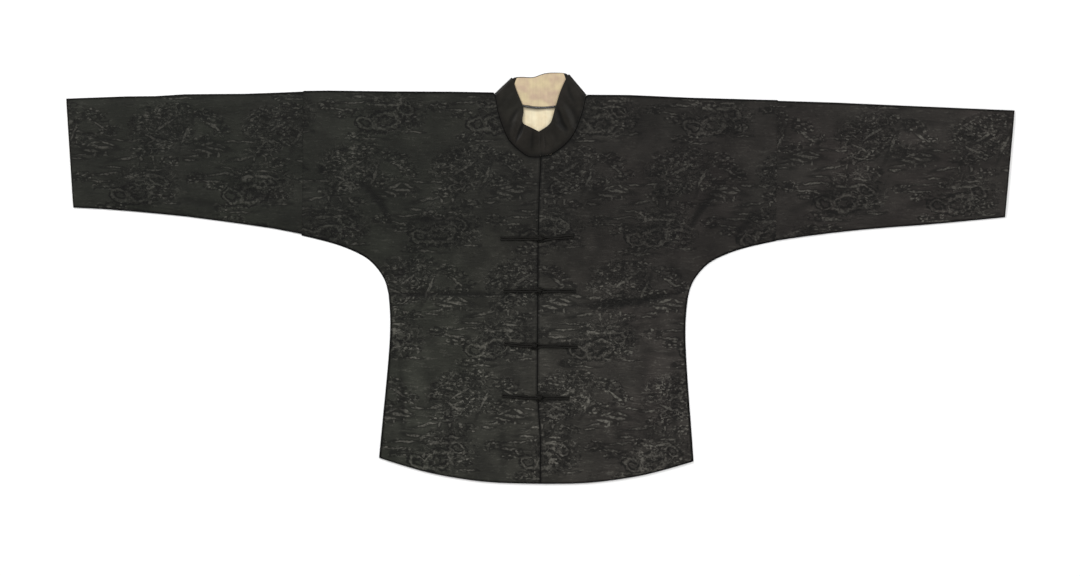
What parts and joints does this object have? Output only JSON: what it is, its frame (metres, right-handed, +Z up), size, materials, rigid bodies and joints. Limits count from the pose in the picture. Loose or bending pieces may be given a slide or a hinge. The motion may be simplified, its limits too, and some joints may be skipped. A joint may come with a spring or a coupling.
{
  "type": "tang jacket",
  "caption": "East Asian tang jacket of dark figured silk, laid flat with the front up: cut-on sleeves, stand collar, centre front opening with knotted frogs, cream lining at the neck.",
  "frame": {"origin": "middle of the jacket's outline, on the surface it lies on", "axes": "+X from cuff to cuff towards the wearer's left sleeve, +Y from the hem to the collar, +Z up from the back to the front of the jacket"},
  "size_m": [1.6, 0.6937, 0.0135],
  "materials": {
    "figured_silk": "soft sheen silk damask, charcoal on black",
    "collar_satin": "plain black satin",
    "cream_lining": "matt cream silk",
    "frog_cord": "rolled black satin cord"
  },
  "bodies": {
    "root": {"back": "figured_silk", "front_left": "figured_silk", "front_right": "figured_silk", "sleeve_left": "figured_silk", "sleeve_right": "figured_silk", "collar": "collar_satin", "collar_lining": "cream_lining", "back_lining": "cream_lining", "frog_1_loop": "frog_cord", "frog_1_knot": "frog_cord", "frog_2_loop": "frog_cord", "frog_2_knot": "frog_cord", "frog_3_loop": "frog_cord", "frog_3_knot": "frog_cord", "frog_4_loop": "frog_cord", "frog_4_knot": "frog_cord"}
  },
  "joints": []
}
